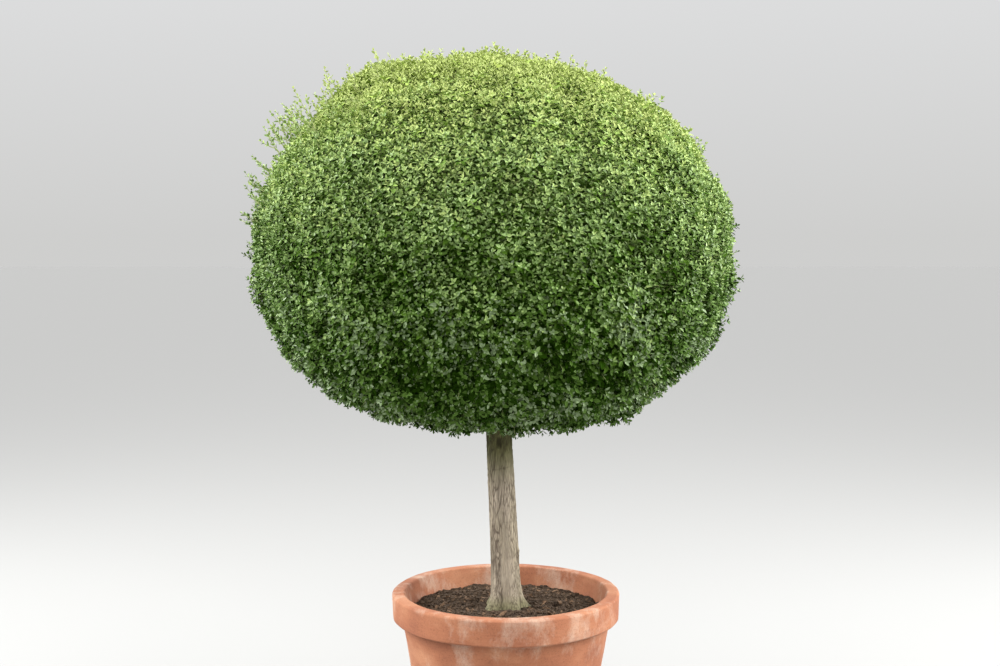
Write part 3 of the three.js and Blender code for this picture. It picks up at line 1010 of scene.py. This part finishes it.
# Leaves on the sprays and twigs further in: they lie across the way out, so no light shows through the crown
inner = {
    "seed": 8,
    "limbs": {
        # the deeper the limb, the lower the tone: painted shade inside the crown, and by height painted light
        # from above
        "sprays": {"each": 13, "length": 0.034, "tone": 0.8},
        "twigs": {"each": 34, "length": 0.050, "tone": 0.3},
        "branches": {"each": 80, "length": 0.060, "tone": 0.0},
    },
    "toneShare": 0.45,  # of the tone that the shoots have at that height
    "toneSpread": 0.3,
    "bare": 0.25,
    "lean": 0.35,  # outwards
    "leanSpread": 0.25,
    "roll": 0.22,
    "lengthSpread": (0.75, 1.15),
    "slender": 0.58,
    "tint": (0.93, 0.99, 0.66),  # the light in there has come through leaves, and is greener
    "gloss": 0.4,
}


def makeInner(limbs):
    rng = np.random.default_rng(inner["seed"])
    leaves, tones = [], []
    for name, plan in inner["limbs"].items():
        curves, each = limbs[name], plan["each"]
        count = len(curves) * each
        order = np.tile(np.arange(each), len(curves))
        share = inner["bare"] + (1 - inner["bare"]) * (order + rng.uniform(size=count)) / each
        bases = along(np.repeat(curves, each, axis=0), share)
        outward = crownNormals(unit(bases - crownCentre))
        turn = np.repeat(rng.uniform(0, 2 * math.pi, len(curves)), each) + order * goldenAngle
        lean = rng.normal(inner["lean"], inner["leanSpread"], count)[:, None]
        direction = unit(acrossAt(outward, turn) + outward * lean)
        face = squareTo(direction, outward + rng.normal(0, inner["roll"], (count, 3)))
        length = plan["length"] * rng.uniform(*inner["lengthSpread"], count)
        width = length * inner["slender"]
        leaves.append(blades(leafShapes["plainBlade"], bases, direction, face, length, width))
        spread = rng.normal(0, inner["toneSpread"], count)
        tones.append(plan["tone"] + inner["toneShare"] * toneAt(bases) + spread)
    return leaves, tones


# Long shoots on one side, and shorter ones all over
whips = {
    "seed": 9,
    "side": (-0.87, -0.2, 0.45),  # where long shoots grew out
    "count": 76,
    "spread": 0.319,
    "reach": 0.110,
    "shortest": 0.2,
    "fall": 4,  # how fast they get shorter away from that side
    "fallLeast": 0.3,
    "elsewhere": 260,
    "elsewhereJitter": 0.6,
    "elsewhereReach": 0.036,
    "elsewhereShortest": 0.3,
    "reachHeights": [-1.0, -0.3, 0.3, 1.0],
    "reachShares": [0.25, 0.45, 0.9, 1.2],
    "lift": 0.75,
    "liftFrom": -0.3,  # they turn up above this rise
    "axisSpread": 0.18,
    "rootDepth": 0.03,
    "bend": 0.4,
    "radii": (0.0016, 0.0008),
    "sides": 3,
    "rings": 3,
    "paleFrom": 0.1,  # height in the crown above which their stems are pale
    "forks": [0.42, 0.58, 0.74],  # where side shoots leave the longer ones
    "forkFrom": 0.045,
    "forkReach": 0.75,  # of the rest of the shoot
    "forkSpread": (0.7, 1.1),
    "forkTurn": 0.4,
    "forkEnd": (1.6, 0.6),  # along the shoot and away from it
    "pairs": [(0.0012, 0.60, 26), (0.0078, 0.85, 40)] + [(0.0132, 0.95, 48)] * 8,
    "plainFrom": 10,
    "bare": 0.15,
    "lost": 0.04,
    "angleSpread": 9,
    "towardsSky": 0.3,
    "roll": 0.25,
    "length": 0.0130,
    "slender": 0.60,
    # tips paler, partly young leaves and partly painted light; pairs further back darker, painted shade
    "toneByPair": [0.5, 0.1] + [-0.5] * 8,
}


def makeWhips():
    rng = np.random.default_rng(whips["seed"])
    side = unit(np.array(whips["side"]))
    near = unit(side + rng.normal(0, whips["spread"], (whips["count"], 3)))
    far = evenDirections(whips["elsewhere"], rng, whips["elsewhereJitter"])
    directions = np.concatenate([near, far])
    nearShare = np.clip(near @ side, whips["fallLeast"], 1) ** whips["fall"]
    farShare = np.interp(far[:, 2], whips["reachHeights"], whips["reachShares"])
    reach = np.concatenate([
        whips["reach"] * rng.uniform(whips["shortest"], 1, len(near)) * nearShare,
        whips["elsewhereReach"] * rng.uniform(whips["elsewhereShortest"], 1, len(far)) * farShare,
    ])
    normals = crownNormals(directions)
    lift = np.where(directions[:, 2:3] > whips["liftFrom"], whips["lift"], 0.0)
    axes = unit(normals + up * lift + rng.normal(0, whips["axisSpread"], normals.shape))
    roots = crownPoints(directions, whips["rootDepth"])
    tips = crownPoints(directions, 0) + axes * reach[:, None]
    clear = farFromStem(tips)
    roots, tips, normals = roots[clear], tips[clear], normals[clear]
    bends = roots + normals * whips["bend"] * np.linalg.norm(tips - roots, axis=1, keepdims=True)
    curves = np.stack([roots, bends, tips], axis=1)
    curves = np.concatenate([curves, sideShoots(curves[reach[clear] > whips["forkFrom"]], rng)])
    tips = curves[:, 2]
    tones = shootTones(tips, np.zeros(len(tips)), rng)
    return curves, pairsOn(curves, whips, tones, np.ones(len(tips)), rng)


# Side shoots that leave a long one, each on the other side from the last
def sideShoots(curves, rng):
    made = []
    count, lengths = len(curves), chordLengths(curves)
    phase = rng.uniform(0, 2 * math.pi, count)
    onward, aside = whips["forkEnd"]
    for number, share in enumerate(whips["forks"]):
        roots, axes = along(curves, share), heading(curves, np.full(count, share))
        side = acrossAt(axes, phase + number * math.pi + rng.normal(0, whips["forkTurn"], count))
        reach = lengths * (1 - share) * whips["forkReach"] * rng.uniform(*whips["forkSpread"], count)
        half = reach[:, None] * 0.5
        bends = roots + unit(axes + side) * half
        made.append(np.stack([roots, bends, bends + unit(axes * onward + side * aside) * half], axis=1))
    return np.concatenate(made)


twigs = {
    "twig_bark": {"color": (0.13, 0.105, 0.07), "roughness": 0.8},
    "twig_green": {"color": (0.24, 0.28, 0.11), "roughness": 0.6},
    "twig_pale": {"color": (0.40, 0.44, 0.20), "roughness": 0.6},
}


def makeCrown(boughs):
    limbs = makeLimbs(boughs)
    curves, shootLeaves = makeShoots(limbs["sprays"])
    whipCurves, whipLeaves = makeWhips()
    innerLeaves = {"blade": ([], []), "plainBlade": makeInner(limbs)}
    pieces = []
    for kind, prefix in (("blade", "leaves"), ("plainBlade", "inner_leaves")):
        leaves, tones = (
            np.concatenate(shootLeaves[kind][part] + whipLeaves[kind][part] + innerLeaves[kind][part])
            for part in (0, 1)
        )
        print(f"{prefix}: {len(leaves)}")
        pieces += makeLeafPieces(kind, leaves, tones, prefix)
    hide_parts("foliage")
    woody, green, pale = (
        newMaterial(name, plan["color"], plan["roughness"], specular=0.3)[0] for name, plan in twigs.items()
    )
    for name, plan in branching.items():
        shape = tubes(limbs[name], *plan["radii"], plan["sides"], plan["rings"])
        addCrownPiece(pieces, f"crown_{name}", shape, woody, "bark", name != "sprays")
    addCrownPiece(pieces, "shoots", spikes(curves[:, 0], curves[:, 2], shoots["radius"]), green)
    high = heightIn(whipCurves[:, 2]) > whips["paleFrom"]
    for name, chosen, material in (("whips", high, pale), ("low_whips", ~high, green)):
        shape = tubes(whipCurves[chosen], *whips["radii"], whips["sides"], whips["rings"])
        addCrownPiece(pieces, name, shape, material)
    for piece in pieces:
        print(f"  {piece.name}: {triangles(piece)} triangles")


# The clay pot: a turned wall with a rolled rim, a little uneven, and drain holes through its floor
pot = {
    "wall": 0.022,
    "floor": 0.030,
    "rimHeight": 0.072,
    "rimProud": 0.014,
    "baseRadius": 0.215,
    "footRound": 0.005,
    "grooveRound": 0.005,  # where the wall meets the rim
    "edgeRound": 0.007,
    "fillet": 0.012,
    "wallFrom": 0.012,  # where the straight wall starts over the foot, and ends under the rim
    "wallTo": 0.008,
    "grooveDrop": 0.006,
    "rimLean": (0.002, 0.0015),  # how far the rim stands back at its foot, and where its face starts
    "faceFrom": 0.004,  # from the rim's edges to that face
    "middle": 0.02,  # radius of the flat faces in the middle of the floor
    "fineStep": 0.0035,  # between rings, outside and then inside
    "insideStep": 0.01,
    "flatStep": 0.02,
    "sides": 180,
    "unevenHeights": (0.002, 0.03),  # where the clay gets uneven
    "unevenRadii": (0.1, 0.2),
    "sway": (0.0009, 0.3, 61),
    "dimples": (0.0003, 0.05, 62),
    "turning": {"reach": 0.00022, "step": 0.0105, "size": 0.4, "seed": 63},
    "chips": {"reach": 0.003, "size": 0.03, "seed": 64, "range": (1.9, 2.6), "depth": 0.02},
    "drains": {"count": 4, "ring": 0.120, "radius": 0.011, "sides": 28, "heights": (-0.02, 0.03, 0.08)},
}


def arc(centre, radius, start, end, steps):
    return [
        (centre[0] + radius * math.cos(angle), centre[1] + radius * math.sin(angle))
        for angle in np.linspace(start, end, steps)
    ]


def straight(first, second, step):
    count = max(2, int(math.dist(first, second) / step))
    first, second = np.array(first), np.array(second)
    return [tuple(first + (second - first) * i / count) for i in range(count + 1)]


def wallRadius(z):
    slope = (rimRadius - pot["rimProud"] - pot["baseRadius"]) / potHeight
    return pot["baseRadius"] + slope * z


# A place on the wall's profile, so far in from its outside
def onWall(z, inwards=0):
    return wallRadius(z) - inwards, z


def potProfile():
    wall, floor, fillet = pot["wall"], pot["floor"], pot["fillet"]
    foot, groove, edge = pot["footRound"], pot["grooveRound"], pot["edgeRound"]
    fine, faceFrom = pot["fineStep"], pot["faceFrom"]
    footLean, faceLean = pot["rimLean"]
    rimFoot, rimTop = potHeight - pot["rimHeight"], potHeight - edge
    quarter = math.pi / 2
    profile = straight((pot["middle"], 0), (pot["baseRadius"] - foot, 0), pot["flatStep"])
    profile += arc((wallRadius(0) - foot, foot), foot, -quarter, 0, 6)
    profile += straight(onWall(pot["wallFrom"]), onWall(rimFoot - pot["wallTo"]), fine)
    profile += arc((wallRadius(rimFoot) + groove, rimFoot - pot["grooveDrop"]), groove, math.pi, quarter, 5)
    profile += arc((rimRadius - edge - footLean, rimFoot + edge), edge, -quarter, 0, 7)
    rimFace = (rimRadius - faceLean, rimFoot + edge + faceFrom), (rimRadius, rimTop - faceFrom)
    profile += straight(*rimFace, fine)
    profile += arc((rimRadius - edge, rimTop), edge, 0, quarter, 8)
    profile += arc((wallRadius(potHeight) - wall + edge, rimTop), edge, quarter, math.pi, 8)
    profile += straight(onWall(potHeight - fillet, wall), onWall(floor + fillet, wall), pot["insideStep"])
    profile += straight((wallRadius(floor) - wall - fillet, floor), (pot["middle"], floor), pot["flatStep"])
    return np.array(profile)


def cut(piece, cutter):
    modifier = piece.modifiers.new("cut", "BOOLEAN")
    modifier.operation = "DIFFERENCE"
    modifier.solver = "EXACT"
    modifier.object = cutter
    bpy.context.view_layer.update()
    evaluated = piece.evaluated_get(bpy.context.evaluated_depsgraph_get())
    made = bpy.data.meshes.new_from_object(evaluated)
    piece.modifiers.clear()
    piece.data = made
    bpy.data.objects.remove(cutter)


def makePot():
    profile = potProfile()
    sides, turning, chips = pot["sides"], pot["turning"], pot["chips"]
    radius, height = (np.repeat(profile[:, part], sides) for part in (0, 1))
    outward = roundAbout(1, np.tile(ringTurns(sides), len(profile)))
    points = outward * radius[:, None] + up * height[:, None]
    above = smoothStep(*pot["unevenHeights"], height) * smoothStep(*pot["unevenRadii"], radius)
    marks = np.sin(height * 2 * math.pi / turning["step"] + field(points, turning["size"], turning["seed"]))
    uneven = relief(points, pot["sway"]) + relief(points, pot["dimples"]) + turning["reach"] * marks
    points = points + outward * (uneven * above)[:, None]
    chipped = smoothStep(*chips["range"], field(points, chips["size"], chips["seed"]))
    chipped = chipped * smoothStep(potHeight - chips["depth"], potHeight, height)
    points = points - up * (chips["reach"] * chipped)[:, None]
    piece = meshPiece("clay_pot", points, skinFaces(len(profile), sides), smooth=True)
    drains = pot["drains"]
    for i in range(drains["count"]):
        angle = (i + 0.5) * 2 * math.pi / drains["count"]
        middle = np.array([math.cos(angle), math.sin(angle), 0]) * drains["ring"]
        curve = np.array([[middle + up * rise for rise in drains["heights"]]])
        cut(piece, meshPiece("drill", *tubes(curve, drains["radius"], drains["radius"], drains["sides"], 1)))
    return piece


clay = {
    "pale": (0.42, 0.195, 0.105),
    "red": (0.315, 0.120, 0.060),
    "dark": (0.235, 0.083, 0.043),
    "bloom": (0.52, 0.40, 0.31),
    "mostBloom": (0.75, 0.75, 0.75),
    "speck": (0.80, 0.80, 0.80),
    "roughness": 0.83,
    "bump": 0.0005,
}


def clayMaterial():
    material, shader = newMaterial("terracotta", clay["red"], clay["roughness"], specular=0.35)
    clouds = objectNoise(material, scale=7, detail=5, stretch=(1, 1, 1.6))
    color = ramp(material, clouds, [(0.28, clay["dark"]), (0.5, clay["red"]), (0.74, clay["pale"])])
    bloom = objectNoise(material, scale=11, detail=7, stretch=(1, 1, 0.55), rough=0.68)
    bloom = ramp(material, bloom, [(0.50, (0, 0, 0)), (0.72, clay["mostBloom"])])
    color = mix(material, bloom, color, clay["bloom"])
    specks = ramp(material, objectNoise(material, scale=240, detail=2), [(0.30, clay["speck"]), (0.5, white)])
    setColor(material, shader, multiply(material, color, specks))
    addBump(material, shader, objectNoise(material, scale=330, detail=5), clay["bump"], strength=0.7)
    return material


# The potting soil: a crumbly top, mounded a little to the stem, with crumbs and chips of bark on it
soil = {
    "mound": 0.009,
    "flatRadius": 0.105,
    "skirt": 0.05,
    "skirtIn": 0.004,
    "middle": 0.02,  # share of the radius
    "gap": 0.0006,  # to the wall
    "sides": 240,
    "rings": 84,
    "lumps": (0.0028, 0.045, 71),
    "grit": (0.0012, 0.014, 72),
    "grains": (0.0006, 0.007, 73),
    "colors": [(0.022, 0.014, 0.009), (0.065, 0.043, 0.028)],
    "roughness": 0.95,
    "bump": 0.0015,
}
# What lies on it, with the size of the largest
looseBits = {
    "soil_crumbs": {
        "count": 2600, "size": (0.009, 0.008, 0.006), "seed": 81,
        "material": "crumbs", "colors": [(0.028, 0.018, 0.012), (0.085, 0.056, 0.036)],
    },
    "bark_chips": {
        "count": 210, "size": (0.026, 0.010, 0.0035), "seed": 82,
        "material": "chips", "colors": [(0.075, 0.042, 0.024), (0.17, 0.105, 0.062)],
    },
}
lying = {
    "fromStem": 0.075,
    "fromWall": 0.02,
    "scales": (0.45, 1.0),
    "corners": (-0.45, 0.35),
    "tilt": 0.3,
    "raised": 0.2,  # of their thickness
}


def potInside(z):
    return wallRadius(z) - pot["wall"] - soil["gap"]


def soilHeight(points):
    away = np.hypot(points[:, 0], points[:, 1])
    fall = smoothStep(soil["flatRadius"], potInside(soilTop), away) * soil["mound"]
    flat = points * np.array([1.0, 1.0, 0.0])
    rough = relief(flat, soil["lumps"]) + relief(flat, soil["grit"]) + np.abs(relief(flat, soil["grains"]))
    return soilTop - fall + rough


def makeSoil():
    sides = soil["sides"]
    edge = potInside(soilTop - soil["mound"]) - soil["gap"]
    radii = np.concatenate([np.linspace(soil["middle"], 1, soil["rings"]) * edge, [edge - soil["skirtIn"]]])
    points = roundAbout(np.repeat(radii, sides), np.tile(ringTurns(sides), len(radii)))
    points[:, 2] = soilHeight(points)
    points[-sides:, 2] = soilTop - soil["mound"] - soil["skirt"]
    # the rings widen at one height, so their faces are turned up
    return meshPiece("soil_top", points, skinFaces(len(radii), sides, clockwise=True), smooth=True)


# Loose bits: boxes with their corners moved at random, each turned its own way
def makeBits(name, plan):
    rng = np.random.default_rng(plan["seed"])
    count, size = plan["count"], plan["size"]
    corners = np.array([[x, y, z] for z in (-1, 1) for y in (-1, 1) for x in (-1, 1)], float)
    faces = np.array([[0, 2, 3, 1], [4, 5, 7, 6], [0, 1, 5, 4], [2, 6, 7, 3], [0, 4, 6, 2], [1, 3, 7, 5]])
    reach = potInside(soilTop) - lying["fromWall"]
    spots = np.sqrt(rng.uniform(lying["fromStem"] ** 2, reach**2, count))
    places = roundAbout(spots, rng.uniform(0, 2 * math.pi, count))
    scale = rng.uniform(*lying["scales"], (count, 1, 1)) * np.array(size)[None, None] / 2
    shapes = (corners[None] + rng.uniform(*lying["corners"], (count, len(corners), 3))) * scale
    ups = unit(up[None] + rng.normal(0, lying["tilt"], (count, 3)))
    fronts = unit(np.cross(ups, rng.normal(size=(count, 3))))
    shapes = shapes @ np.stack([fronts, np.cross(ups, fronts), ups], axis=1)
    places[:, 2] = soilHeight(places) + size[2] * lying["raised"]
    points = (shapes + places[:, None]).reshape(-1, 3)
    return meshPiece(name, points, [repeatedFaces(faces, count, len(corners))])


def soilMaterial(name, dark, brown):
    material, shader = newMaterial(name, dark, soil["roughness"], specular=0.2)
    grains = objectNoise(material, scale=150, detail=5, rough=0.7)
    setColor(material, shader, ramp(material, grains, [(0.35, dark), (0.62, brown)]))
    addBump(material, shader, objectNoise(material, scale=380), soil["bump"])
    return material


makeCamera()
makeStage()
print("camera and light: done")

barkFinish = barkMaterial()
stemPiece = makeStem()
finishPiece(stemPiece, barkFinish, "bark", "trunk")
boughs = boughCurves()
names = [f"bough_{i + 1}" for i in range(fork["boughs"])] + ["leader"]
for name, curve in zip(names, boughs):
    rootRadius = fork["leaderRadius"] if name == "leader" else fork["rootRadius"]
    finishPiece(makeBough(f"{name}_bark", curve, rootRadius), barkFinish, "bark", name)
print(f"stem and boughs: {triangles(stemPiece)} triangles in the stem")

makeCrown(boughs)
print("crown: done")

finishPiece(makePot(), clayMaterial(), "terracotta", "pot")
finishPiece(makeSoil(), soilMaterial("compost", *soil["colors"]), "soil", "soil")
for name, plan in looseBits.items():
    finishPiece(makeBits(name, plan), soilMaterial(plan["material"], *plan["colors"]), "soil")
print("pot and soil: done")
